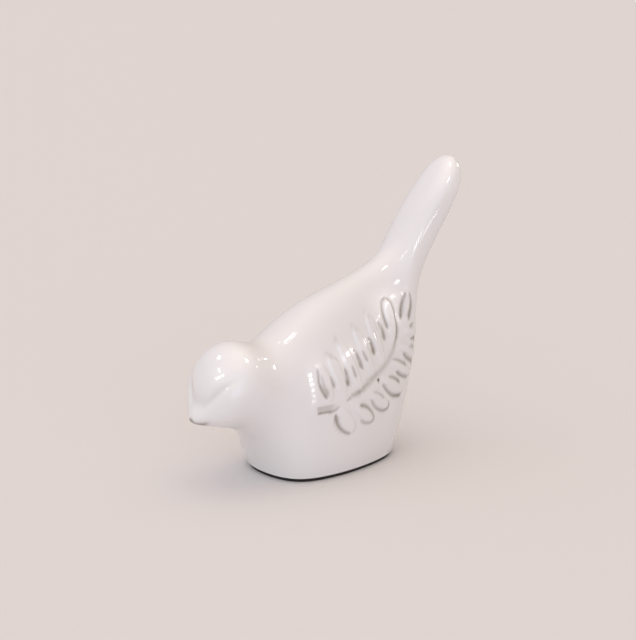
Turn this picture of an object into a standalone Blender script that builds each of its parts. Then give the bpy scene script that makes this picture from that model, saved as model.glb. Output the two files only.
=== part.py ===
"""A small glazed ceramic bird with its tail raised and a fern leaf on each flank.

Metres, +Z up. The bird faces -Y and its mirror plane is x = 0, so +X is its left flank.
The origin is the middle of the flat foot it stands on.
"""

import math

import bmesh
import bpy
import numpy as np
from mathutils import Vector
from mathutils.bvhtree import BVHTree

HEIGHT = 0.1085  # table to the tip of the tail

RIM_HEIGHT = 0.0021  # where the flank turns under, above the table
RIM_CLEARANCE = 0.0013  # gap under the glazed rim
RIM_ROUNDING = 0.0006  # how far the rim turns in before it lies flat
FOOT_INSET = 0.0009  # the bare foot stands back this far from the rim

CREASE_DEPTH = 0.0005  # the fold between forehead and face
CREASE_WIDTH = 0.0050

LEAFLET_RISE = 0.0008  # how far a leaflet stands out of the flank
LEAFLET_EDGE = 0.0003  # its edge dips this far under the skin, so that it joins the flank
STEM_WIDTH = 0.0018
STEM_RISE = 0.0005

# Shape and carving are shares of the figure's own height, in hundredths.
SHARE = HEIGHT / 100

# Sections from beak to tail: the point on the back, the point underneath, both as (y, z),
# the half width, how much fuller the lower half is, and how square the section is.
SECTIONS = [
    ("beak tip", (-55.0, 26.2), (-55.0, 26.2), 0.0, 0.00, 2.0),
    ("beak", (-52.1, 31.8), (-52.9, 23.7), 5.0, 0.00, 2.0),
    ("brow", (-49.7, 38.5), (-47.2, 22.0), 10.8, 0.00, 2.0),
    ("forehead", (-45.7, 45.2), (-42.4, 20.6), 13.8, 0.00, 2.0),
    ("crown", (-38.1, 49.0), (-37.5, 18.5), 14.9, 0.00, 2.0),
    ("nape", (-28.4, 47.3), (-31.7, 13.1), 15.4, 0.07, 2.0),
    ("shoulder", (-18.9, 50.8), (-26.0, 2.2), 17.4, 0.11, 2.1),
    ("breast", (-9.0, 56.2), (-18.4, -9.1), 19.4, 0.15, 2.1),
    ("back", (0.3, 59.5), (0.0, -12.8), 19.8, 0.18, 2.1),
    ("hip", (9.6, 62.1), (19.6, -8.9), 17.4, 0.16, 2.1),
    ("rump", (19.0, 65.1), (28.8, 4.8), 14.4, 0.12, 2.1),
    ("vent", (27.6, 69.0), (35.1, 27.0), 12.0, 0.07, 2.1),
    ("tail root", (33.7, 74.5), (37.6, 49.0), 9.5, 0.00, 2.3),
    ("tail low", (39.0, 81.2), (43.8, 65.3), 8.5, 0.00, 2.6),
    ("tail middle", (45.1, 88.1), (52.0, 77.5), 8.4, 0.00, 2.8),
    ("tail high", (51.0, 94.3), (58.8, 87.7), 7.7, 0.00, 2.8),
    ("tail end", (55.9, 98.9), (61.7, 95.2), 5.0, 0.00, 2.6),
    ("tail tip", (59.7, 99.6), (59.7, 99.6), 0.0, 0.00, 2.4),
]

# The fern's stem as it shows from the side, a Bezier curve in (y, z).
STEM = [(-17.5, 25.5), (1.8, 25.3), (18.4, 31.3), (26.6, 47.6)]

# Leaflets: share of the way along the stem, angle up from +Y in degrees, reach and width.
LEAFLETS = [
    (0.10, 98, 15.2, 6.1),
    (0.22, 103, 17.6, 6.0),
    (0.365, 109, 20.0, 5.8),
    (0.505, 105, 20.1, 5.7),
    (0.635, 101, 19.6, 5.7),
    (0.81, 91, 16.9, 5.8),
    (1.00, 70, 10.4, 5.0),
    (0.93, -13, 9.4, 4.9),
    (0.83, -26, 12.6, 5.3),
    (0.705, -32, 14.2, 5.5),
    (0.555, -34, 15.5, 5.8),
    (0.375, -32, 15.5, 6.1),
    (0.235, -38, 15.2, 6.3),
    (0.145, -57, 12.4, 6.9),
]
LEAFLET_START = 1.4  # a leaflet begins this far from the middle of the stem
LEAFLET_BLUNTNESS = 2.6  # 2 is an ellipse, more is rounder at the ends

HEAD_END = 5  # sections up to here are meshed more finely, for the face
TAIL_START = 12
RINGS_PER_HEAD_SECTION = 4
RINGS_PER_BODY_SECTION = 3
RINGS_PER_TAIL_SECTION = 3
SIDES = 36


def clear_scene():
    for thing in list(bpy.data.objects):
        bpy.data.objects.remove(thing, do_unlink=True)


def glaze(name, colour, roughness):
    material = bpy.data.materials.new(name)
    material.use_nodes = True
    shader = material.node_tree.nodes["Principled BSDF"]
    shader.inputs["Base Color"].default_value = (*colour, 1.0)
    shader.inputs["Roughness"].default_value = roughness
    shader.inputs["Metallic"].default_value = 0.0
    shader.inputs["Coat Weight"].default_value = 0.5
    material.diffuse_color = (*colour, 1.0)
    return material


class ClosedCurve:
    """A smooth closed curve through its knots, read at any knot number."""

    def __init__(self, knots):
        self.knots = np.array(knots, float)
        count = len(self.knots)
        eye = np.eye(count)
        matrix = 4 * eye + np.roll(eye, 1, axis=0) + np.roll(eye, -1, axis=0)
        ahead = np.roll(self.knots, -1, axis=0)
        behind = np.roll(self.knots, 1, axis=0)
        self.bends = np.linalg.solve(matrix, 6 * (ahead - 2 * self.knots + behind))

    def at(self, where):
        count = len(self.knots)
        low = math.floor(where)
        part = where - low
        i = low % count
        j = (i + 1) % count
        rest = 1 - part
        straight = rest * self.knots[i] + part * self.knots[j]
        bend_i = (rest**3 - rest) * self.bends[i]
        bend_j = (part**3 - part) * self.bends[j]
        return straight + (bend_i + bend_j) / 6


class Body:
    """The bird's skin: a point for each place between beak and tail and each way round."""

    def __init__(self, sections):
        self.last = len(sections) - 1
        upper = [row[1] for row in sections]
        lower = [row[2] for row in sections]
        back_again = slice(-2, 0, -1)
        self.outline = ClosedCurve(upper + lower[back_again])
        widths = [row[3] for row in sections]
        self.width = ClosedCurve([[w] for w in widths + [-w for w in widths[back_again]]])
        self.fuller = ClosedCurve([[row[4]] for row in sections + sections[back_again]])
        self.square = ClosedCurve([[row[5]] for row in sections + sections[back_again]])

    def point(self, along, turn):
        upper = self.outline.at(along) * SHARE
        lower = self.outline.at(-along) * SHARE
        width = self.width.at(along)[0] * SHARE
        fuller = self.fuller.at(along)[0]
        power = self.square.at(along)[0]
        across = math.cos(turn)
        rise = math.sin(turn)
        reach = (abs(across) ** power + abs(rise) ** power) ** (-1 / power)
        across *= reach
        rise *= reach
        y, z = (upper + lower) / 2 + (upper - lower) / 2 * rise
        return Vector((width * across * (1 - fuller * rise), y, z))


def ring_places():
    places = []
    for section in range(len(SECTIONS) - 1):
        if section < HEAD_END:
            steps = RINGS_PER_HEAD_SECTION
        elif section < TAIL_START:
            steps = RINGS_PER_BODY_SECTION
        else:
            steps = RINGS_PER_TAIL_SECTION
        for step in range(steps):
            places.append(section + step / steps)
    places[0] = 0.12
    places.append(len(SECTIONS) - 1.12)
    return places


def crease_height(x):
    """Height of the fold round the face: level across the beak, then climbing to the cheek."""
    aside = max(abs(x) / SHARE - 3.5, 0.0)
    return (31.3 + 1.05 * aside) * SHARE


def press_crease(point, normal):
    """The point pushed in where it lies near the fold."""
    aside = abs(point.x) / SHARE
    fade_side = min(max((13.0 - aside) / 4.0, 0.0), 1.0)
    fade_back = min(max((-41.0 - point.y / SHARE) / 4.0, 0.0), 1.0)
    away = (point.z - crease_height(point.x)) / (CREASE_WIDTH / 2)
    depth = CREASE_DEPTH * math.exp(-away * away) * fade_side * fade_back
    return point - normal * depth


def body_mesh(body):
    mesh = bmesh.new()
    rings = []
    for along in ring_places():
        ring = []
        for side in range(SIDES):
            ring.append(mesh.verts.new(body.point(along, 2 * math.pi * side / SIDES)))
        rings.append(ring)
    for first, second in zip(rings, rings[1:]):
        for side in range(SIDES):
            other = (side + 1) % SIDES
            mesh.faces.new((first[side], first[other], second[other], second[side]))
    for along, ring in ((0, rings[0]), (body.last, rings[-1])):
        tip = mesh.verts.new(body.point(along, 0.0))
        for side in range(SIDES):
            mesh.faces.new((tip, ring[side], ring[(side + 1) % SIDES]))
    bmesh.ops.recalc_face_normals(mesh, faces=mesh.faces)
    mesh.normal_update()
    moved = [(vert, press_crease(vert.co, vert.normal)) for vert in mesh.verts]
    for vert, place in moved:
        vert.co = place
    return mesh


def inset_ring(mesh, edges, inset, height):
    """A new ring inside the given one, joined to it by faces."""
    made = bmesh.ops.extrude_edge_only(mesh, edges=edges)["geom"]
    verts = [item for item in made if isinstance(item, bmesh.types.BMVert)]
    centre = sum((vert.co for vert in verts), Vector()) / len(verts)
    for vert in verts:
        outward = vert.co - centre
        outward.z = 0
        vert.co -= outward.normalized() * inset
        vert.co.z = height
    return [item for item in made if isinstance(item, bmesh.types.BMEdge)]


def cut_foot(mesh):
    """The body is cut level above the table and closed with a rounded rim and a flat foot."""
    everything = mesh.verts[:] + mesh.edges[:] + mesh.faces[:]
    rim = Vector((0, 0, RIM_HEIGHT))
    bmesh.ops.bisect_plane(mesh, geom=everything, plane_co=rim, plane_no=(0, 0, 1), clear_inner=True)
    open_edges = [edge for edge in mesh.edges if edge.is_boundary]
    under = inset_ring(mesh, open_edges, RIM_ROUNDING, RIM_CLEARANCE)
    foot_top = inset_ring(mesh, under, FOOT_INSET - RIM_ROUNDING, RIM_CLEARANCE)
    foot = inset_ring(mesh, foot_top, RIM_CLEARANCE / 4, 0.0)
    bmesh.ops.contextual_create(mesh, geom=foot)
    bmesh.ops.recalc_face_normals(mesh, faces=mesh.faces)


def stem_point(share):
    """The place on the stem and the unit direction it runs in there, in (y, z)."""
    knots = [Vector(knot) for knot in STEM]
    rest = 1 - share
    place = (
        knots[0] * rest**3
        + knots[1] * 3 * share * rest**2
        + knots[2] * 3 * share**2 * rest
        + knots[3] * share**3
    )
    heading = (
        (knots[1] - knots[0]) * rest**2
        + (knots[2] - knots[1]) * 2 * share * rest
        + (knots[3] - knots[2]) * share**2
    )
    return place * SHARE, heading.normalized()


def onto_flank(flank, place, height):
    """A side-view place carried across onto the left flank, then lifted along its normal."""
    hit, normal, _, _ = flank.ray_cast(Vector((HEIGHT, place.x, place.y)), Vector((-1, 0, 0)))
    return hit + normal * height


def blunted(point):
    """A point of the unit sphere moved onto a blunter, fuller oval body."""
    power = LEAFLET_BLUNTNESS
    total = abs(point.x) ** power + abs(point.y) ** power + abs(point.z) ** power
    return point * total ** (-1 / power)


def leaflet_mesh(flank, share, degrees, reach, width):
    """A puffed lobe, half sunk in the flank."""
    base, _ = stem_point(share)
    angle = math.radians(degrees)
    heading = Vector((math.cos(angle), math.sin(angle)))
    aside = Vector((-heading.y, heading.x))
    start = LEAFLET_START * SHARE
    half = (reach * SHARE - start) / 2
    middle = base + heading * (start + half)
    mesh = bmesh.new()
    bmesh.ops.create_uvsphere(mesh, u_segments=12, v_segments=8, radius=1.0)
    for vert in mesh.verts:
        across, lift, along = blunted(vert.co)
        swell = 0.84 + 0.16 * along
        place = middle + heading * (along * half)
        place = place + aside * (across * swell * width * SHARE / 2)
        height = lift * (LEAFLET_RISE + LEAFLET_EDGE) - LEAFLET_EDGE
        vert.co = onto_flank(flank, place, height)
    return mesh


def stem_mesh(flank):
    """A low rib along the stem, cut square at its foot."""
    steps = 14
    mesh = bmesh.new()
    rings = []
    for step in range(steps + 1):
        place, heading = stem_point(step / steps)
        aside = Vector((-heading.y, heading.x))
        width = STEM_WIDTH * (1.0 - 0.45 * step / steps)
        ring = []
        depth = STEM_RISE + 2 * LEAFLET_EDGE
        section = [
            (-0.5, -LEAFLET_EDGE),
            (-0.25, STEM_RISE),
            (0.25, STEM_RISE),
            (0.5, -LEAFLET_EDGE),
            (0.5, -depth),
            (-0.5, -depth),
        ]
        for across, height in section:
            spot = place + aside * (across * width)
            ring.append(mesh.verts.new(onto_flank(flank, spot, height)))
        rings.append(ring)
    for first, second in zip(rings, rings[1:]):
        for i in range(len(first)):
            j = (i + 1) % len(first)
            mesh.faces.new((first[i], first[j], second[j], second[i]))
    mesh.faces.new(rings[0])
    mesh.faces.new(rings[-1])
    return mesh


def mirrored(mesh):
    """The mesh together with its mirror image on the other flank."""
    made = bmesh.ops.duplicate(mesh, geom=mesh.verts[:] + mesh.edges[:] + mesh.faces[:])["geom"]
    for item in made:
        if isinstance(item, bmesh.types.BMVert):
            item.co.x = -item.co.x
    bmesh.ops.recalc_face_normals(mesh, faces=mesh.faces)
    return mesh


def add_object(name, mesh, collection):
    data = bpy.data.meshes.new(name)
    mesh.to_mesh(data)
    mesh.free()
    thing = bpy.data.objects.new(name, data)
    collection.objects.link(thing)
    return thing


def main():
    clear_scene()
    scene_collection = bpy.context.scene.collection
    mesh = body_mesh(Body(SECTIONS))
    cut_foot(mesh)
    flank = BVHTree.FromBMesh(mesh)

    carving = bpy.data.collections.new("carving")
    scene_collection.children.link(carving)
    pieces = [("stem", stem_mesh(flank))]
    for number, row in enumerate(LEAFLETS, start=1):
        pieces.append((f"leaflet_{number}", leaflet_mesh(flank, *row)))
    for name, piece in pieces:
        lobe = add_object(name, mirrored(piece), carving)
        lobe.hide_render = True
        lobe.display_type = "WIRE"

    bird = add_object("bird", mesh, scene_collection)
    bird.data.materials.append(glaze("white glaze", (0.78, 0.74, 0.72), 0.16))
    bird.data.shade_smooth()
    bird.data.set_sharp_from_angle(angle=math.radians(50))
    join = bird.modifiers.new("fern", "BOOLEAN")
    join.operation = "UNION"
    join.solver = "EXACT"
    join.operand_type = "COLLECTION"
    join.collection = carving


main()
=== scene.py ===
from math import atan, cos, sin, pi, radians

import bmesh
import bpy
import numpy as np
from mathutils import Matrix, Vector, noise


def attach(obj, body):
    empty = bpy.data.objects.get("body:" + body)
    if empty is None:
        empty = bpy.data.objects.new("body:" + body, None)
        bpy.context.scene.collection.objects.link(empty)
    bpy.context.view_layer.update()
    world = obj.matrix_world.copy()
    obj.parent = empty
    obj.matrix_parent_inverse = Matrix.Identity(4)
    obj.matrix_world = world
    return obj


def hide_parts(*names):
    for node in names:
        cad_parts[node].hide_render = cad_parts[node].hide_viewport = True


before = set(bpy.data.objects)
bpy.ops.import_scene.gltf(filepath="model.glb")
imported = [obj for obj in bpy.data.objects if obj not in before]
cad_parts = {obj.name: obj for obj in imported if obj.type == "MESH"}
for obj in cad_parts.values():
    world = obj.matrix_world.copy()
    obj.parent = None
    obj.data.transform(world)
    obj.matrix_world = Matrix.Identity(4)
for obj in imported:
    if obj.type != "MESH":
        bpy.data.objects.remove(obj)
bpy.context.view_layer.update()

scene = bpy.context.scene

# the photo's view: from the front left, a little above
view = {
    "azimuth": 50.0,
    "pitch": 15.0,
    "place": (0.5036, -0.4239, 0.2304),
    "lens": 104.1,
}
cameraData = bpy.data.cameras.new("camera")
cameraData.lens = view["lens"]
cameraData.sensor_width = 36.0
cameraData.clip_start = 0.01
camera = bpy.data.objects.new("camera", cameraData)
camera.location = view["place"]
camera.rotation_euler = (radians(90 - view["pitch"]), 0, radians(view["azimuth"]))
scene.collection.objects.link(camera)
scene.camera = camera
print("camera set")


# shape of the bird, in metres; the sections, the fold's height and how far the marks of the face
# reach aside and back are in hundredths of the bird's height
bird = {
    "height": 0.1085,
    # from beak to tail: back point, under point, half width, fullness, squareness
    "sections": [
        ((-55.0, 26.2), (-55.0, 26.2), 0.0, 0.00, 2.0),
        ((-52.1, 31.8), (-52.9, 23.7), 5.0, 0.00, 2.0),
        ((-49.7, 38.5), (-47.2, 22.0), 10.8, 0.00, 2.0),
        ((-45.7, 45.2), (-42.4, 20.6), 13.8, 0.00, 2.0),
        ((-38.1, 49.0), (-37.5, 18.5), 14.9, 0.00, 2.0),
        ((-28.4, 47.3), (-31.7, 13.1), 15.4, 0.07, 2.0),
        ((-18.9, 50.8), (-26.0, 2.2), 17.4, 0.11, 2.1),
        ((-9.0, 56.2), (-18.4, -9.1), 19.4, 0.15, 2.1),
        ((0.3, 59.5), (0.0, -12.8), 19.8, 0.18, 2.1),
        ((9.6, 62.1), (19.6, -8.9), 17.4, 0.16, 2.1),
        ((19.0, 65.1), (28.8, 4.8), 14.4, 0.12, 2.1),
        ((27.6, 69.0), (35.1, 27.0), 12.0, 0.07, 2.1),
        ((33.7, 74.5), (37.6, 49.0), 9.5, 0.00, 2.3),
        ((39.0, 81.2), (43.8, 65.3), 8.5, 0.00, 2.6),
        ((45.1, 88.1), (52.0, 77.5), 8.4, 0.00, 2.8),
        ((51.0, 94.3), (58.8, 87.7), 7.7, 0.00, 2.8),
        ((55.9, 98.9), (61.7, 95.2), 5.0, 0.00, 2.6),
        ((59.7, 99.6), (59.7, 99.6), 0.0, 0.00, 2.4),
    ],
    "ringsAlong": 160,
    "sidesRound": 180,
    "trailSteps": 1200,
    "fineCuts": 2,
    "sharpAbove": 60,
    "faceBox": {"y": (-0.1, -0.046), "z": (0.022, 0.050)},
    "unevenness": 0.00012,
    "unevenScale": 45,
    # the fold under the forehead: a groove with a soft swelling above it, and painted shade along the
    # groove
    "fold": {
        "height": 31.3,
        "levelWidth": 3.5,
        "climb": 1.05,
        "sideFade": (13.5, 8.5),
        "backFade": (-41.0, -45.5),
        "depth": 0.00066,
        "width": 0.0022,
        "swelling": 0.00012,
        "swellingAbove": 0.0050,
        "swellingWidth": 0.0028,
        "dark": 0.13,
        "darkWidth": 0.0015,
    },
    # the shaded line under the tip of the beak: it rises aside, with a small peak in the middle
    "lip": {
        "height": 0.0262,
        "rise": 0.0006,
        "riseWidth": 4,
        "peak": 0.0017,
        "peakWidth": 1.3,
        "sideFade": (7.0, 3.0),
        "backFade": (-50.0, -52.5),
        "dark": 0.85,
        "darkWidth": 0.0008,
    },
    "rimHeight": 0.0021,
    "rimSteps": 5,
    "rimRounding": 0.0006,
    "rimClearance": 0.0013,
    "footInset": 0.0009,
    "footSlope": 0.25,
}
share = bird["height"] / 100
millimetre = 0.001


def closedCurve(knots):
    # bends of the smooth closed curve through the knots
    count = len(knots)
    eye = np.eye(count)
    matrix = 4 * eye + np.roll(eye, 1, axis=0) + np.roll(eye, -1, axis=0)
    right = 6 * (np.roll(knots, -1, axis=0) - 2 * knots + np.roll(knots, 1, axis=0))
    return np.linalg.solve(matrix, right)


def alongCurve(knots, bends, where):
    count = len(knots)
    low = np.floor(where)
    part = (where - low)[:, None]
    rest = 1 - part
    i = low.astype(int) % count
    j = (i + 1) % count
    straight = rest * knots[i] + part * knots[j]
    return straight + ((rest**3 - rest) * bends[i] + (part**3 - part) * bends[j]) / 6


rows = bird["sections"]
goingBack = rows[-2:0:-1]
knots = np.array(
    [[*row[0], row[2], row[3], row[4]] for row in rows]
    + [[*row[1], -row[2], row[3], row[4]] for row in goingBack]
)
bends = closedCurve(knots)
lastSection = len(rows) - 1


def skinPoints(along, turn):
    upper = alongCurve(knots, bends, along)
    lower = alongCurve(knots, bends, -along)
    across = np.cos(turn)
    rise = np.sin(turn)
    power = upper[:, 4]
    reach = (np.abs(across) ** power + np.abs(rise) ** power) ** (-1 / power)
    across = across * reach
    rise = rise * reach
    x = upper[:, 2] * across * (1 - upper[:, 3] * rise)
    y = (upper[:, 0] + lower[:, 0]) / 2 + (upper[:, 0] - lower[:, 0]) / 2 * rise
    z = (upper[:, 1] + lower[:, 1]) / 2 + (upper[:, 1] - lower[:, 1]) / 2 * rise
    return np.stack([x, y, z], axis=1) * share


# even steps from beak to tail, measured over the skin
samples = np.linspace(0, lastSection, bird["trailSteps"])
trail = [skinPoints(samples, np.full(len(samples), turn)) for turn in (pi / 2, 0.0, -pi / 2)]
steps = sum(np.linalg.norm(np.diff(line, axis=0), axis=1) for line in trail)
travelled = np.concatenate([[0], np.cumsum(steps)])
travelled /= travelled[-1]


# the fern, seen from the side: points, reaches and widths are in hundredths of the bird's height, and
# the rest is in metres
fern = {
    # a Bezier curve
    "stem": [(-17.5, 25.5), (1.8, 25.3), (18.4, 31.3), (26.6, 47.6)],
    "stemSteps": 90,
    "stemWidth": 0.0046,
    "stemCrown": 0.0008,
    "stemRise": 0.00022,
    # how much of the lower one is added where the rib and a leaflet cross
    "crossing": 0.3,
    "start": 0.6,
    "bluntness": 2.3,
    "taper": 0.16,
    "rise": 0.00060,
    "edge": 0.0018,
    "outerEdge": 0.0003,
    "rootSink": 0.55,
    "rootSpan": (-0.35, -1.0),
    # share of the way along the stem, angle, reach, width
    "leaflets": [
        (0.10, 98, 15.2, 6.1),
        (0.22, 103, 17.6, 5.9),
        (0.365, 109, 20.0, 5.7),
        (0.505, 105, 20.1, 5.6),
        (0.635, 101, 19.6, 5.6),
        (0.81, 91, 16.9, 5.7),
        (1.00, 70, 10.4, 5.0),
        (0.93, -13, 9.4, 4.9),
        (0.83, -26, 12.6, 5.3),
        (0.705, -32, 14.2, 5.5),
        (0.555, -34, 15.5, 5.8),
        (0.375, -32, 15.5, 6.1),
        (0.235, -38, 15.2, 6.3),
        (0.145, -57, 12.4, 6.9),
    ],
    # stained cuts, and a few marks of painted shade: points, width at both ends, depth in mm, how dark at
    # both ends
    "strokes": [
        ([(-15.0, 38.7), (-15.2, 33.5), (-13.5, 29.1)], 0.6, 0.7, 0.35, 0.6, 1.0),
        ([(-14.4, 36.6), (-14.2, 33.0), (-13.1, 30.2)], 1.0, 1.6, 0.12, 0.25, 0.65),
        ([(-10.5, 35.8), (-9.7, 32.3)], 0.5, 1.1, 0.22, 0.45, 0.75),
        ([(-4.0, 37.3), (-3.6, 35.0), (-3.7, 31.9)], 0.7, 1.3, 0.35, 0.6, 1.05),
        ([(-1.1, 37.8), (-0.2, 33.9)], 0.6, 0.9, 0.22, 0.45, 0.65),
        ([(0.8, 43.1), (2.6, 40.3), (3.4, 36.3)], 0.5, 1.2, 0.35, 0.5, 1.05),
        ([(4.7, 41.5), (6.1, 38.0)], 0.5, 0.9, 0.22, 0.5, 0.7),
        ([(8.9, 45.2), (10.0, 43.0), (10.4, 39.5)], 0.7, 1.4, 0.35, 0.65, 1.05),
        ([(11.9, 46.6), (12.6, 43.8)], 0.5, 0.7, 0.15, 0.2, 0.3),
        ([(15.2, 48.9), (16.3, 46.2), (16.6, 43.0)], 0.6, 1.3, 0.35, 0.55, 1.05),
        ([(18.9, 46.4), (18.1, 51.1), (18.6, 54.6), (20.2, 56.2)], 0.9, 0.7, 0.32, 0.85, 0.6),
        ([(20.2, 56.2), (22.1, 54.7), (23.0, 50.9), (23.2, 46.3), (21.9, 41.9)], 0.6, 1.1, 0.30, 0.6, 0.85),
        ([(22.0, 42.6), (20.2, 39.2), (17.1, 35.7)], 1.0, 1.5, 0.18, 0.5, 0.35),
        ([(25.5, 48.8), (26.8, 53.1), (29.0, 56.7)], 1.3, 0.8, 0.35, 1.0, 0.7),
        ([(29.2, 47.9), (30.8, 52.0), (30.7, 56.2)], 1.2, 0.8, 0.30, 0.95, 0.7),
        # faint grey marks at the tips of the leaflets, over very shallow cuts, are painted shade
        ([(-9.6, 42.9), (-8.3, 41.4)], 1.8, 1.0, 0.10, 0.32, 0.25),
        ([(-8.3, 41.4), (-4.8, 39.9)], 0.7, 0.6, 0.05, 0.2, 0.1),
        ([(-4.7, 47.0), (-4.4, 44.9)], 1.8, 1.2, 0.08, 0.24, 0.16),
        ([(3.4, 49.8), (4.3, 47.8)], 1.8, 1.2, 0.08, 0.22, 0.16),
        ([(10.4, 52.6), (11.3, 50.9)], 1.6, 1.0, 0.08, 0.16, 0.12),
        ([(29.7, 44.9), (31.4, 45.6)], 1.1, 1.0, 0.22, 0.65, 0.6),
        ([(30.0, 40.6), (31.4, 40.4), (33.6, 40.2)], 0.9, 1.3, 0.30, 0.6, 1.0),
        ([(28.5, 38.1), (31.9, 37.6)], 1.1, 1.2, 0.20, 0.45, 0.5),
        ([(25.4, 36.5), (27.5, 34.3), (31.9, 31.8)], 0.8, 1.3, 0.30, 0.65, 1.0),
        ([(19.1, 35.9), (22.9, 34.4), (26.5, 32.3)], 0.5, 1.0, 0.25, 0.35, 0.75),
        ([(21.0, 31.0), (23.5, 29.1), (27.6, 27.4)], 0.9, 0.9, 0.28, 0.8, 0.65),
        ([(16.4, 30.3), (19.4, 29.3), (22.4, 27.1)], 0.7, 1.1, 0.26, 0.5, 0.9),
        ([(12.9, 28.5), (14.9, 25.9), (18.2, 23.4), (22.7, 22.3)], 0.7, 1.2, 0.38, 0.6, 1.0),
        ([(7.6, 27.1), (10.2, 26.1), (12.7, 24.1)], 0.6, 0.9, 0.20, 0.3, 0.5),
        ([(5.9, 24.9), (8.1, 21.8), (11.6, 19.7), (14.5, 19.9), (15.4, 21.8)], 0.6, 1.1, 0.30, 0.5, 0.8),
        ([(0.5, 24.1), (3.3, 23.2), (5.7, 21.0), (6.9, 18.6), (5.4, 16.9)], 1.1, 0.9, 0.30, 0.85, 0.6),
        ([(5.8, 17.0), (2.7, 17.5), (0.8, 18.9)], 0.9, 0.8, 0.22, 0.55, 0.45),
        ([(-10.1, 22.7), (-9.5, 19.7), (-7.4, 16.9), (-4.3, 15.2)], 1.2, 0.8, 0.36, 1.0, 0.6),
        ([(-13.0, 24.2), (-10.3, 24.6), (-8.6, 25.5)], 0.9, 0.6, 0.20, 0.75, 0.4),
        ([(-5.2, 26.7), (-2.5, 27.9), (1.6, 28.8)], 0.6, 1.6, 0.20, 0.4, 0.75),
        ([(1.6, 28.8), (7.2, 31.5), (14.9, 34.7), (19.8, 38.6)], 1.6, 1.6, 0.16, 0.55, 0.32),
        ([(10.4, 30.55), (10.5, 30.65)], 1.1, 1.1, 0.30, 2.4, 2.4),
    ],
    "strokeSpread": 0.70,
    "tipLength": 0.8,
    "tipWidth": 0.6,
    "tipStrength": 0.6,
    "tipBend": 0.7,
    # the stem's lower end is a square cut a little in and darkened with painted shade of the stem's
    # underside: its corners, its soft sides and its dark lower line
    "stemEnd": {
        "low": (-17.2, 24.3),
        "high": (-12.0, 26.9),
        "outerSide": (-0.0002, 0.0002),
        "innerSide": (0.004, -0.001),
        "lowerSide": (-0.0003, 0.0001),
        "upperSide": (0.0003, -0.0006),
        "depth": 0.16,
        "dark": 0.40,
        "lineAbove": 0.0003,
        "lineWidth": 0.0005,
        "lineDepth": 1.6,
        "lineDark": 0.85,
    },
    # a low bank where the fern starts, with four soft sides
    "bank": {
        "rise": 0.00040,
        "front": (-0.0212, -0.0174),
        "back": (-0.002, -0.013),
        "bottom": (0.0275, 0.0315),
        "top": (0.046, 0.041),
    },
    # where the skin is finer beside the leaflets, and where it carries relief at all
    "frontBox": {"y": (-0.0225, -0.008), "z": (0.0245, 0.0465)},
    "wholeBox": {"y": (-0.024, 0.044), "z": (0.010, 0.070)},
    "fineMargin": 0.0012,
    "clearOfMiddle": 0.004,
    "facing": (0.12, 0.4),
}


def stemPoint(part):
    p = [np.array(knot) for knot in fern["stem"]]
    rest = 1 - part
    lower = p[0] * rest**3 + p[1] * 3 * part * rest**2
    return (lower + p[2] * 3 * part**2 * rest + p[3] * part**3) * share


def softStep(low, high, value):
    part = np.clip((value - low) / (high - low), 0, 1)
    return part * part * (3 - 2 * part)


def softSide(limit, span, value):
    return softStep(limit + span[0], limit + span[1], value)


def inBox(box, y, z):
    return (y > box["y"][0]) & (y < box["y"][1]) & (z > box["z"][0]) & (z < box["z"][1])


def ramp(part):
    # an even slope from 0 to 1 with its two corners rounded
    part = np.clip(part, 0, 1)
    corner = 0.34
    steep = 1 / (1 - corner)
    start = steep * part**2 / (2 * corner)
    end = 1 - steep * (1 - part) ** 2 / (2 * corner)
    middle = steep * (part - corner / 2)
    return np.where(part < corner, start, np.where(part > 1 - corner, end, middle))


def leafletEdge(leaflet, y, z):
    # how far outside the leaflet's edge each place is, less than nothing inside, and how far along it
    part, degrees, reach, width = leaflet
    heading = np.array([cos(radians(degrees)), sin(radians(degrees))])
    start = fern["start"] * share
    half = (reach * share - start) / 2
    middle = stemPoint(part) + heading * (start + half)
    along = ((y - middle[0]) * heading[0] + (z - middle[1]) * heading[1]) / half
    across = ((z - middle[1]) * heading[0] - (y - middle[0]) * heading[1]) / (width * share / 2)
    across = across / (1 - fern["taper"] + fern["taper"] * np.clip(along, -1, 1))
    power = fern["bluntness"]
    radius = (np.abs(along) ** power + np.abs(across) ** power) ** (1 / power) + 1e-9
    slope = np.hypot(
        (np.abs(along) / radius) ** (power - 1) / half,
        (np.abs(across) / radius) ** (power - 1) / (width * share / 2),
    )
    return (radius - 1) / slope, along


def smoothLine(points):
    # the same line with its corners rounded
    if len(points) < 3:
        return points
    before = np.vstack([2 * points[0] - points[1], points[:-1]])
    after = np.vstack([points[1:], 2 * points[-1] - points[-2]])
    lean = (after - before) / 2
    made = []
    for i in range(len(points) - 1):
        for t in (0.0, 0.25, 0.5, 0.75):
            rest = 1 - t
            made.append(
                points[i] * rest**2 * (1 + 2 * t)
                + points[i + 1] * t**2 * (3 - 2 * t)
                + lean[i] * t * rest**2
                - lean[i + 1] * t**2 * rest
            )
    return np.array(made + [points[-1]])


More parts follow.
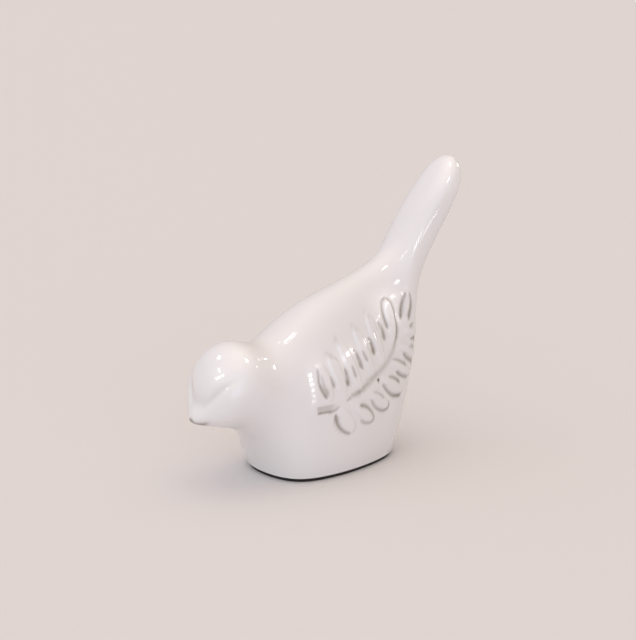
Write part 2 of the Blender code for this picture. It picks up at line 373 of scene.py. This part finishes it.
def strokeMark(stroke, y, z):
    # how deep and how dark a stroke is at each place: most along its middle, fading at edges and ends
    points, startWidth, endWidth, depth, startDark, endDark = stroke
    points = smoothLine(np.array(points)) * share
    lengths = np.linalg.norm(np.diff(points, axis=0), axis=1)
    before = np.concatenate([[0], np.cumsum(lengths)])
    away = np.full(len(y), np.inf)
    travelled = np.zeros(len(y))
    for i, length in enumerate(lengths):
        heading = (points[i + 1] - points[i]) / length
        along = (y - points[i][0]) * heading[0] + (z - points[i][1]) * heading[1]
        held = np.clip(along, 0, length)
        gap = np.hypot(y - points[i][0] - heading[0] * held, z - points[i][1] - heading[1] * held)
        closer = gap < away
        away = np.where(closer, gap, away)
        travelled = np.where(closer, before[i] + held, travelled)
    part = travelled / before[-1]
    ends = np.minimum(travelled, before[-1] - travelled) / (fern["tipLength"] * share)
    taper = fern["tipWidth"] + (1 - fern["tipWidth"]) * np.clip(ends, 0, 1) ** fern["tipBend"]
    width = (startWidth + (endWidth - startWidth) * part) * share * fern["strokeSpread"] * taper
    strength = fern["tipStrength"] + (1 - fern["tipStrength"]) * taper
    mark = np.exp(-(away / width) ** 2) * strength
    return mark * depth * millimetre, mark * (startDark + (endDark - startDark) * part)


def stemEndMark(y, z):
    # the square end: cut off upright at its outer end, with painted shade darkest along its lower edge,
    # fading into the rib
    end = fern["stemEnd"]
    low = np.array(end["low"]) * share
    high = np.array(end["high"]) * share
    inside = softSide(low[0], end["outerSide"], y) * softSide(high[0], end["innerSide"], y)
    fill = inside * softSide(low[1], end["lowerSide"], z) * softSide(high[1], end["upperSide"], z)
    line = inside * np.exp(-((z - low[1] - end["lineAbove"]) / end["lineWidth"]) ** 2)
    cut = end["depth"] * millimetre * np.maximum(fill, end["lineDepth"] * line)
    return cut, np.maximum(end["dark"] * fill, end["lineDark"] * line)


def fernRelief(y, z):
    # height of the relief, and its darkening, for places seen from the side: stain in the cuts, and painted
    # shade at the stem's end and at the leaflets' tips
    flat = np.ones(len(y))
    slope = fern["outerEdge"] + fern["edge"]
    for leaflet in fern["leaflets"]:
        away, along = leafletEdge(leaflet, y, z)
        rooted = 1 - fern["rootSink"] * softStep(*fern["rootSpan"], along)
        flat *= 1 - ramp((fern["outerEdge"] - away) / slope) * rooted
    # neighbouring lobes join in soft valleys
    lobes = fern["rise"] * (1 - flat)
    nearest = np.full(len(y), np.inf)
    for part in np.linspace(0, 1, fern["stemSteps"]):
        place = stemPoint(part)
        nearest = np.minimum(nearest, np.hypot(y - place[0], z - place[1]))
    ribbed = fern["stemRise"] * softStep(fern["stemWidth"], fern["stemCrown"], nearest)
    height = np.maximum(lobes, ribbed) + fern["crossing"] * np.minimum(lobes, ribbed)
    bank = fern["bank"]
    lengthwise = softStep(*bank["front"], y) * softStep(*bank["back"], y)
    height += bank["rise"] * lengthwise * softStep(*bank["bottom"], z) * softStep(*bank["top"], z)
    stainAndShade = np.zeros(len(y))
    cut = np.zeros(len(y))
    marks = [strokeMark(stroke, y, z) for stroke in fern["strokes"]] + [stemEndMark(y, z)]
    for depth, dark in marks:
        cut = np.maximum(cut, depth)
        stainAndShade = np.maximum(stainAndShade, dark)
    return height - cut, stainAndShade


def onFern(x, y, z):
    # places that the relief reaches, with a little room round it
    gap = np.full(len(y), np.inf)
    for leaflet in fern["leaflets"]:
        gap = np.minimum(gap, leafletEdge(leaflet, y, z)[0])
    wanted = (gap < fern["fineMargin"]) | inBox(fern["frontBox"], y, z)
    return wanted & (np.abs(x) > fern["clearOfMiddle"])


def wrapShell():
    shell = bmesh.new()
    bmesh.ops.create_uvsphere(
        shell, u_segments=bird["sidesRound"], v_segments=bird["ringsAlong"], radius=1.0
    )

    def places():
        co = np.array([vert.co for vert in shell.verts])
        polar = np.arctan2(np.hypot(co[:, 0], co[:, 1]), co[:, 2]) / pi
        turn = np.arctan2(co[:, 1], co[:, 0])
        return skinPoints(np.interp(polar, travelled, samples), turn)

    # finer faces where the fern and the face are
    spots = places()
    for index, vert in enumerate(shell.verts):
        vert.index = index
    fine = set()
    corners = [[spots[vert.index] for vert in face.verts] for face in shell.faces]
    x, y, z = np.array([np.mean(corner, axis=0) for corner in corners]).T
    wanted = onFern(x, y, z) | inBox(bird["faceBox"], y, z)
    for face, isFine in zip(shell.faces, wanted):
        if isFine:
            fine.update(face.edges)
    bmesh.ops.subdivide_edges(shell, edges=list(fine), cuts=bird["fineCuts"], use_grid_fill=True)
    spots = places()
    for vert, spot in zip(shell.verts, spots):
        vert.co = spot
    if shell.calc_volume(signed=True) < 0:
        bmesh.ops.reverse_faces(shell, faces=shell.faces)
    shell.normal_update()
    print("skin wrapped:", len(shell.verts), "points")
    return shell


def carve(shell):
    co = np.array([vert.co for vert in shell.verts])
    normal = np.array([vert.normal for vert in shell.verts])
    x, y, z = co.T
    relief = np.zeros(len(co))
    stainAndShade = np.zeros(len(co))
    nearFern = (np.abs(x) > fern["clearOfMiddle"]) & inBox(fern["wholeBox"], y, z)
    nearFern &= normal[:, 0] * np.sign(x) > fern["facing"][0]
    facing = softStep(*fern["facing"], np.abs(normal[nearFern, 0]))
    height, dark = fernRelief(y[nearFern], z[nearFern])
    relief[nearFern] = height * facing
    stainAndShade[nearFern] = dark * facing
    fold = bird["fold"]
    aside = np.abs(x) / share
    foldHeight = (fold["height"] + fold["climb"] * np.maximum(aside - fold["levelWidth"], 0)) * share
    fade = softStep(*fold["sideFade"], aside) * softStep(*fold["backFade"], y / share)
    away = z - foldHeight
    swelling = fold["swelling"] * np.exp(-((away - fold["swellingAbove"]) / fold["swellingWidth"]) ** 2)
    relief += (swelling - fold["depth"] * np.exp(-(away / fold["width"]) ** 2)) * fade
    lip = bird["lip"]
    peak = lip["peak"] * np.exp(-(aside / lip["peakWidth"]) ** 2)
    lipHeight = lip["height"] + lip["rise"] * (aside / lip["riseWidth"]) ** 2 + peak
    line = np.exp(-((z - lipHeight) / lip["darkWidth"]) ** 2)
    line *= softStep(*lip["sideFade"], aside) * softStep(*lip["backFade"], y / share)
    stainAndShade = np.maximum(stainAndShade, lip["dark"] * line)
    # painted shade along the fold's groove
    stainAndShade = np.maximum(stainAndShade, fold["dark"] * np.exp(-(away / fold["darkWidth"]) ** 2) * fade)
    # the slightly uneven hand of the caster
    for index, vert in enumerate(shell.verts):
        wave = noise.noise(vert.co * bird["unevenScale"]) * bird["unevenness"]
        vert.co = vert.co + vert.normal * (relief[index] + wave)
    return stainAndShade


def turnUnder(shell):
    # cut level above the table, then a rounded rim, a narrow ledge and the foot, near black as painted
    # shadow in the gap under the rim
    everything = shell.verts[:] + shell.edges[:] + shell.faces[:]
    rim = Vector((0, 0, bird["rimHeight"]))
    bmesh.ops.bisect_plane(shell, geom=everything, plane_co=rim, plane_no=(0, 0, 1), clear_inner=True)
    edges = [edge for edge in shell.edges if edge.is_boundary]

    def stepIn(edges, inset, height, material=0):
        made = bmesh.ops.extrude_edge_only(shell, edges=edges)["geom"]
        for item in made:
            if isinstance(item, bmesh.types.BMFace):
                item.material_index = material
        verts = [item for item in made if isinstance(item, bmesh.types.BMVert)]
        for vert in verts:
            outward = Vector((vert.co.x, vert.co.y, 0)).normalized()
            vert.co -= outward * inset
            vert.co.z = height
        return [item for item in made if isinstance(item, bmesh.types.BMEdge)]

    drop = bird["rimHeight"] - bird["rimClearance"]
    before = 0
    for step in range(1, bird["rimSteps"] + 1):
        angle = pi / 2 * step / bird["rimSteps"]
        inward = bird["rimRounding"] * (1 - cos(angle))
        edges = stepIn(edges, inward - before, bird["rimHeight"] - drop * sin(angle))
        before = inward
    edges = stepIn(edges, bird["footInset"] - bird["rimRounding"], bird["rimClearance"])
    edges = stepIn(edges, bird["rimClearance"] * bird["footSlope"], 0.0, material=1)
    for face in bmesh.ops.contextual_create(shell, geom=edges)["faces"]:
        face.material_index = 1


def storeStainAndShade(shell, stainAndShade):
    # stain in the cuts and painted shade, kept on each point
    layer = shell.verts.layers.float.new("stainAndShade")
    for vert, value in zip(shell.verts, stainAndShade):
        vert[layer] = float(value)


def buildBird():
    shell = wrapShell()
    storeStainAndShade(shell, carve(shell))
    turnUnder(shell)
    mesh = bpy.data.meshes.new("glazedBird")
    shell.to_mesh(mesh)
    shell.free()
    mesh.shade_smooth()
    mesh.set_sharp_from_angle(angle=radians(bird["sharpAbove"]))
    piece = bpy.data.objects.new("glazedBird", mesh)
    scene.collection.objects.link(piece)
    mesh.calc_loop_triangles()
    print("bird built:", len(mesh.loop_triangles), "triangles")
    return piece


def addNode(tree, kind, place, **values):
    node = tree.nodes.new(kind)
    node.location = place
    for key, value in values.items():
        setattr(node, key, value)
    return node


glaze = {
    "roughness": 0.1,
    "refraction": 1.52,
    "coat": 0.4,
    "coatRoughness": 0.07,
    "cloudScale": 28.0,
    "darker": (0.775, 0.752, 0.742, 1),
    "lighter": (0.805, 0.786, 0.775, 1),
    # colour of the stain, also used for the painted shade
    "stainAndShade": (0.250, 0.205, 0.165, 1),
    "grainScale": 900.0,
    "grainSpan": (0.75, 1.15),
    "pinhole": (0.030, 0.022, 0.016, 1),
    "pinholeSpan": (1.1, 1.6),
    "peelScale": 160.0,
    "peelStrength": 0.015,
    "peelHeight": 0.0006,
}


def glazeMaterial():
    material = bpy.data.materials.new("whiteGlaze")
    material.use_nodes = True
    tree = material.node_tree
    shader = tree.nodes["Principled BSDF"]
    shader.inputs["Roughness"].default_value = glaze["roughness"]
    shader.inputs["IOR"].default_value = glaze["refraction"]
    shader.inputs["Coat Weight"].default_value = glaze["coat"]
    shader.inputs["Coat Roughness"].default_value = glaze["coatRoughness"]
    link = tree.links.new
    coords = addNode(tree, "ShaderNodeTexCoord", (-1400, 0))
    # broad, faint changes of the glaze's colour
    cloud = addNode(tree, "ShaderNodeTexNoise", (-1150, 200))
    cloud.inputs["Scale"].default_value = glaze["cloudScale"]
    cloud.inputs["Detail"].default_value = 2.0
    link(coords.outputs["Object"], cloud.inputs["Vector"])
    body = addNode(tree, "ShaderNodeMix", (-900, 200), data_type="RGBA")
    body.inputs["A"].default_value = glaze["darker"]
    body.inputs["B"].default_value = glaze["lighter"]
    link(cloud.outputs["Fac"], body.inputs["Factor"])
    # brown-grey stain lying in the cuts, and painted shade at the fold, under the beak's tip, at the stem's
    # end and at the leaflets' tips, broken up a little
    stainAndShade = addNode(tree, "ShaderNodeAttribute", (-1150, -150), attribute_name="stainAndShade")
    grain = addNode(tree, "ShaderNodeTexNoise", (-1150, -350))
    grain.inputs["Scale"].default_value = glaze["grainScale"]
    grain.inputs["Detail"].default_value = 3.0
    link(coords.outputs["Object"], grain.inputs["Vector"])
    broken = addNode(tree, "ShaderNodeMapRange", (-900, -350))
    broken.inputs["To Min"].default_value = glaze["grainSpan"][0]
    broken.inputs["To Max"].default_value = glaze["grainSpan"][1]
    link(grain.outputs["Fac"], broken.inputs["Value"])
    amount = addNode(tree, "ShaderNodeMath", (-700, -200), operation="MULTIPLY", use_clamp=True)
    link(stainAndShade.outputs["Fac"], amount.inputs[0])
    link(broken.outputs["Result"], amount.inputs[1])
    coloured = addNode(tree, "ShaderNodeMix", (-450, 100), data_type="RGBA")
    coloured.inputs["B"].default_value = glaze["stainAndShade"]
    link(body.outputs["Result"], coloured.inputs["A"])
    link(amount.outputs[0], coloured.inputs["Factor"])
    # a pinhole is far darker than any cut
    hole = addNode(tree, "ShaderNodeMapRange", (-450, -120))
    hole.inputs["From Min"].default_value = glaze["pinholeSpan"][0]
    hole.inputs["From Max"].default_value = glaze["pinholeSpan"][1]
    link(stainAndShade.outputs["Fac"], hole.inputs["Value"])
    pierced = addNode(tree, "ShaderNodeMix", (-220, 100), data_type="RGBA")
    pierced.inputs["B"].default_value = glaze["pinhole"]
    link(coloured.outputs["Result"], pierced.inputs["A"])
    link(hole.outputs["Result"], pierced.inputs["Factor"])
    link(pierced.outputs["Result"], shader.inputs["Base Color"])
    # very soft orange peel in the glaze
    peel = addNode(tree, "ShaderNodeTexNoise", (-700, -500))
    peel.inputs["Scale"].default_value = glaze["peelScale"]
    peel.inputs["Detail"].default_value = 1.0
    link(coords.outputs["Object"], peel.inputs["Vector"])
    bump = addNode(tree, "ShaderNodeBump", (-450, -450))
    bump.inputs["Strength"].default_value = glaze["peelStrength"]
    bump.inputs["Distance"].default_value = glaze["peelHeight"]
    link(peel.outputs["Fac"], bump.inputs["Height"])
    link(bump.outputs["Normal"], shader.inputs["Normal"])
    return material


# the foot is near black: painted shadow of the dark gap under the rim, with a faint grit
footShadow = {
    "roughness": 0.85,
    "gritScale": 1500.0,
    "darker": (0.010, 0.007, 0.005, 1),
    "lighter": (0.022, 0.016, 0.012, 1),
}


def paintedShadowFootMaterial():
    material = bpy.data.materials.new("paintedShadowFoot")
    material.use_nodes = True
    tree = material.node_tree
    shader = tree.nodes["Principled BSDF"]
    shader.inputs["Roughness"].default_value = footShadow["roughness"]
    coords = addNode(tree, "ShaderNodeTexCoord", (-900, 0))
    grit = addNode(tree, "ShaderNodeTexNoise", (-700, 0))
    grit.inputs["Scale"].default_value = footShadow["gritScale"]
    tree.links.new(coords.outputs["Object"], grit.inputs["Vector"])
    colour = addNode(tree, "ShaderNodeMix", (-400, 0), data_type="RGBA")
    colour.inputs["A"].default_value = footShadow["darker"]
    colour.inputs["B"].default_value = footShadow["lighter"]
    tree.links.new(grit.outputs["Fac"], colour.inputs["Factor"])
    tree.links.new(colour.outputs["Result"], shader.inputs["Base Color"])
    return material


glazedBird = buildBird()
glazedBird.data.materials.append(glazeMaterial())
glazedBird.data.materials.append(paintedShadowFootMaterial())
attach(glazedBird, "root")
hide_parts("bird")
print("bird placed")


# pale floor
ground = {
    "size": 4.0,
    "colour": (0.745, 0.725, 0.715, 1),
    "roughness": 0.7,
}


def makeFloor():
    grid = bmesh.new()
    bmesh.ops.create_grid(grid, x_segments=2, y_segments=2, size=ground["size"])
    mesh = bpy.data.meshes.new("floor")
    grid.to_mesh(mesh)
    grid.free()
    floor = bpy.data.objects.new("floor", mesh)
    scene.collection.objects.link(floor)
    material = bpy.data.materials.new("paleFloor")
    material.use_nodes = True
    shader = material.node_tree.nodes["Principled BSDF"]
    shader.inputs["Base Color"].default_value = ground["colour"]
    shader.inputs["Roughness"].default_value = ground["roughness"]
    mesh.materials.append(material)


makeFloor()

# small lamps close to the bird, one for each highlight in the glaze: its place, the lamp's azimuth and
# elevation from there, its distance and radius, and its brightness; places and sizes are in millimetres
glints = [
    ("headHigh", (2.8, -48.9, 49.5), -57, 45, 120, 8.0, 16),
    ("headMiddle", (5.5, -51.1, 46.1), -30, 36, 120, 5.0, 15),
    ("headLow1", (6.1, -52.8, 43.1), -31, 24, 60, 2.3, 15),
    ("headLow2", (6.7, -52.5, 43.5), -27, 27, 60, 2.3, 15),
    ("headLow3", (7.2, -52.1, 43.8), -23, 30, 60, 2.3, 15),
    ("headLow4", (7.6, -51.8, 44.1), -19, 33, 60, 2.3, 15),
    ("headLow5", (8.0, -51.4, 44.5), -15, 37, 60, 2.3, 15),
    ("headBack", (10.6, -43.0, 49.0), 144, 62, 60, 6.0, 13),
    ("headFaint", (11.2, -46.4, 47.0), 71, 61, 120, 6.0, 5),
    ("neckHigh", (10.0, -33.8, 47.6), 179, 34, 40, 1.2, 22),
    ("back1", (6.3, -24.9, 51.3), -97, 85, 120, 2.6, 10),
    ("back2", (7.5, -22.1, 52.0), 28, 84, 120, 3.4, 15),
    ("back3", (8.1, -19.6, 53.0), 58, 80, 120, 3.0, 13),
    ("neckLow", (12.3, -31.8, 44.6), 151, 36, 60, 4.0, 15),
    ("rumpHigh", (5.4, 26.8, 70.8), 103, 68, 120, 6.0, 14),
    ("rumpLow", (9.6, 29.3, 65.7), 106, 28, 120, 4.0, 15),
    ("tailRoot1", (7.0, 33.1, 73.4), 62, 49, 120, 2.4, 12),
    ("tailRoot2", (7.0, 34.1, 74.4), 55, 47, 120, 3.0, 13),
    ("tailRoot3", (7.3, 35.5, 75.7), 51, 43, 120, 2.0, 12),
    ("tailLine1", (8.5, 39.4, 78.5), 82, 24, 120, 2.8, 16),
    ("tailLine2", (8.6, 40.6, 79.8), 88, 20, 120, 2.8, 17),
    ("tailLine3", (8.7, 41.8, 81.2), 93, 16, 120, 2.8, 18),
    ("tailLine4", (8.8, 44.2, 83.6), 104, 8, 120, 2.8, 18),
    ("tailLine5", (8.9, 46.6, 85.9), 112, 2, 120, 2.8, 16),
    ("tailLine6", (9.0, 49.1, 88.7), 116, -1, 120, 2.8, 13),
    ("tipHigh", (4.7, 60.0, 105.8), -36, 88, 50, 4.4, 20),
    ("tipLow", (7.6, 56.6, 100.6), 90, 45, 50, 4.5, 13),
    ("tipBack", (5.7, 63.1, 105.3), 175, 20, 50, 4.0, 20),
    ("flank1", (17.0, -19.8, 40.6), 90, 22, 120, 3.2, 16),
    ("flank2", (17.6, -19.9, 38.9), 91, 18, 120, 3.0, 16),
    ("flank3", (18.2, -20.1, 37.2), 92, 14, 120, 2.8, 15),
    ("flank4", (18.8, -20.0, 35.3), 92, 9, 120, 2.5, 13),
    ("flank5", (19.3, -19.8, 33.3), 92, 5, 120, 2.0, 11),
    ("leaflet1", (16.9, -16.2, 43.3), 84, 55, 40, 3.4, 10),
    ("leaflet1Cut", (18.9, -16.5, 37.8), 60, 4, 40, 2.5, 7),
    ("leaflet2", (17.9, -4.1, 44.0), 87, 9, 40, 3.4, 12),
    ("leaflet3Low", (17.7, -2.3, 45.3), 130, 16, 40, 1.8, 13),
    ("leaflet3High", (16.6, 0.4, 46.5), 148, 13, 25, 2.2, 12),
    ("leaflet4", (15.8, 8.2, 48.4), 163, 9, 20, 1.6, 13),
    ("leaflet5", (12.8, 17.3, 54.5), 135, 15, 60, 1.5, 13),
    ("leaflet6", (11.9, 21.3, 58.3), 82, 34, 25, 5.2, 6),
    ("leaflet7", (11.0, 24.8, 60.5), 123, 20, 40, 2.6, 11),
    ("leaflet7Top", (11.3, 30.1, 61.6), 114, 13, 60, 2.0, 9),
    ("leaflet8", (13.2, 25.9, 53.0), 98, 9, 20, 1.8, 12),
]
# each lamp lights a circle this many times its own radius, and this many millimetres more
circle = {"times": 1.3, "more": 1.2}
lampColour = (1.0, 0.98, 0.97)


def towards(azimuth, elevation):
    a = radians(azimuth)
    e = radians(elevation)
    return Vector((sin(a) * cos(e), -cos(a) * cos(e), sin(e)))


# the small lamps light the bird alone
litPieces = bpy.data.collections.new("litPieces")
litPieces.objects.link(glazedBird)


def addLamp(name, place, direction):
    data = bpy.data.lights.new(name, "SPOT")
    data.color = lampColour
    lamp = bpy.data.objects.new(name, data)
    lamp.location = place
    lamp.rotation_euler = direction.to_track_quat("Z", "Y").to_euler()
    lamp.visible_camera = False
    lamp.light_linking.receiver_collection = litPieces
    scene.collection.objects.link(lamp)
    return data


def addLamps():
    for name, place, azimuth, elevation, distance, radius, bright in glints:
        direction = towards(azimuth, elevation)
        data = addLamp(name, (Vector(place) + direction * distance) / 1000, direction)
        data.spot_size = 2 * atan((radius * circle["times"] + circle["more"]) / distance)
        data.spot_blend = 1.0
        data.shadow_soft_size = radius / 1000
        # a larger lamp of the same brightness gives more light
        data.energy = 4 * pi**2 * (radius / 1000) ** 2 * bright


addLamps()

# soft light of the room: an even base, and broad glows from in front, the left flank, above and the
# right, each with its azimuth, elevation, narrowness and colour
room = {
    "strength": 0.95,
    "base": (0.59, 0.52, 0.45),
    "glows": [
        (0, 5, 2, (0.19, 0.26, 0.19)),
        (58, 9, 6, (1.10, 1.27, 1.78)),
        (0, 90, 5, (1.12, 0.92, 0.78)),
        (-60, 30, 2, (0.16, 0.21, 0.41)),
    ],
}


def lightRoom(tree):
    background = tree.nodes["Background"]
    background.inputs["Strength"].default_value = room["strength"]
    coords = addNode(tree, "ShaderNodeTexCoord", (-1500, 0))
    total = addNode(tree, "ShaderNodeCombineXYZ", (-1500, 300))
    for name, value in zip("XYZ", room["base"]):
        total.inputs[name].default_value = value
    soFar = total.outputs["Vector"]
    for step, (azimuth, elevation, power, colour) in enumerate(room["glows"]):
        x = -1200 + 900 * step
        facing = addNode(tree, "ShaderNodeVectorMath", (x, 0), operation="DOT_PRODUCT")
        facing.inputs[1].default_value = towards(azimuth, elevation)
        tree.links.new(coords.outputs["Generated"], facing.inputs[0])
        ahead = addNode(tree, "ShaderNodeMath", (x + 200, 0), operation="MAXIMUM")
        ahead.inputs[1].default_value = 0.0
        tree.links.new(facing.outputs["Value"], ahead.inputs[0])
        narrowed = addNode(tree, "ShaderNodeMath", (x + 400, 0), operation="POWER")
        narrowed.inputs[1].default_value = power
        tree.links.new(ahead.outputs[0], narrowed.inputs[0])
        glow = addNode(tree, "ShaderNodeVectorMath", (x + 600, 0), operation="SCALE")
        glow.inputs[0].default_value = colour
        tree.links.new(narrowed.outputs[0], glow.inputs["Scale"])
        added = addNode(tree, "ShaderNodeVectorMath", (x + 800, 200), operation="ADD")
        tree.links.new(soFar, added.inputs[0])
        tree.links.new(glow.outputs["Vector"], added.inputs[1])
        soFar = added.outputs["Vector"]
    tree.links.new(soFar, background.inputs["Color"])


world = bpy.data.worlds.new("room")
world.use_nodes = True
lightRoom(world.node_tree)
scene.world = world
scene.view_settings.view_transform = "Standard"
print("floor and light set")
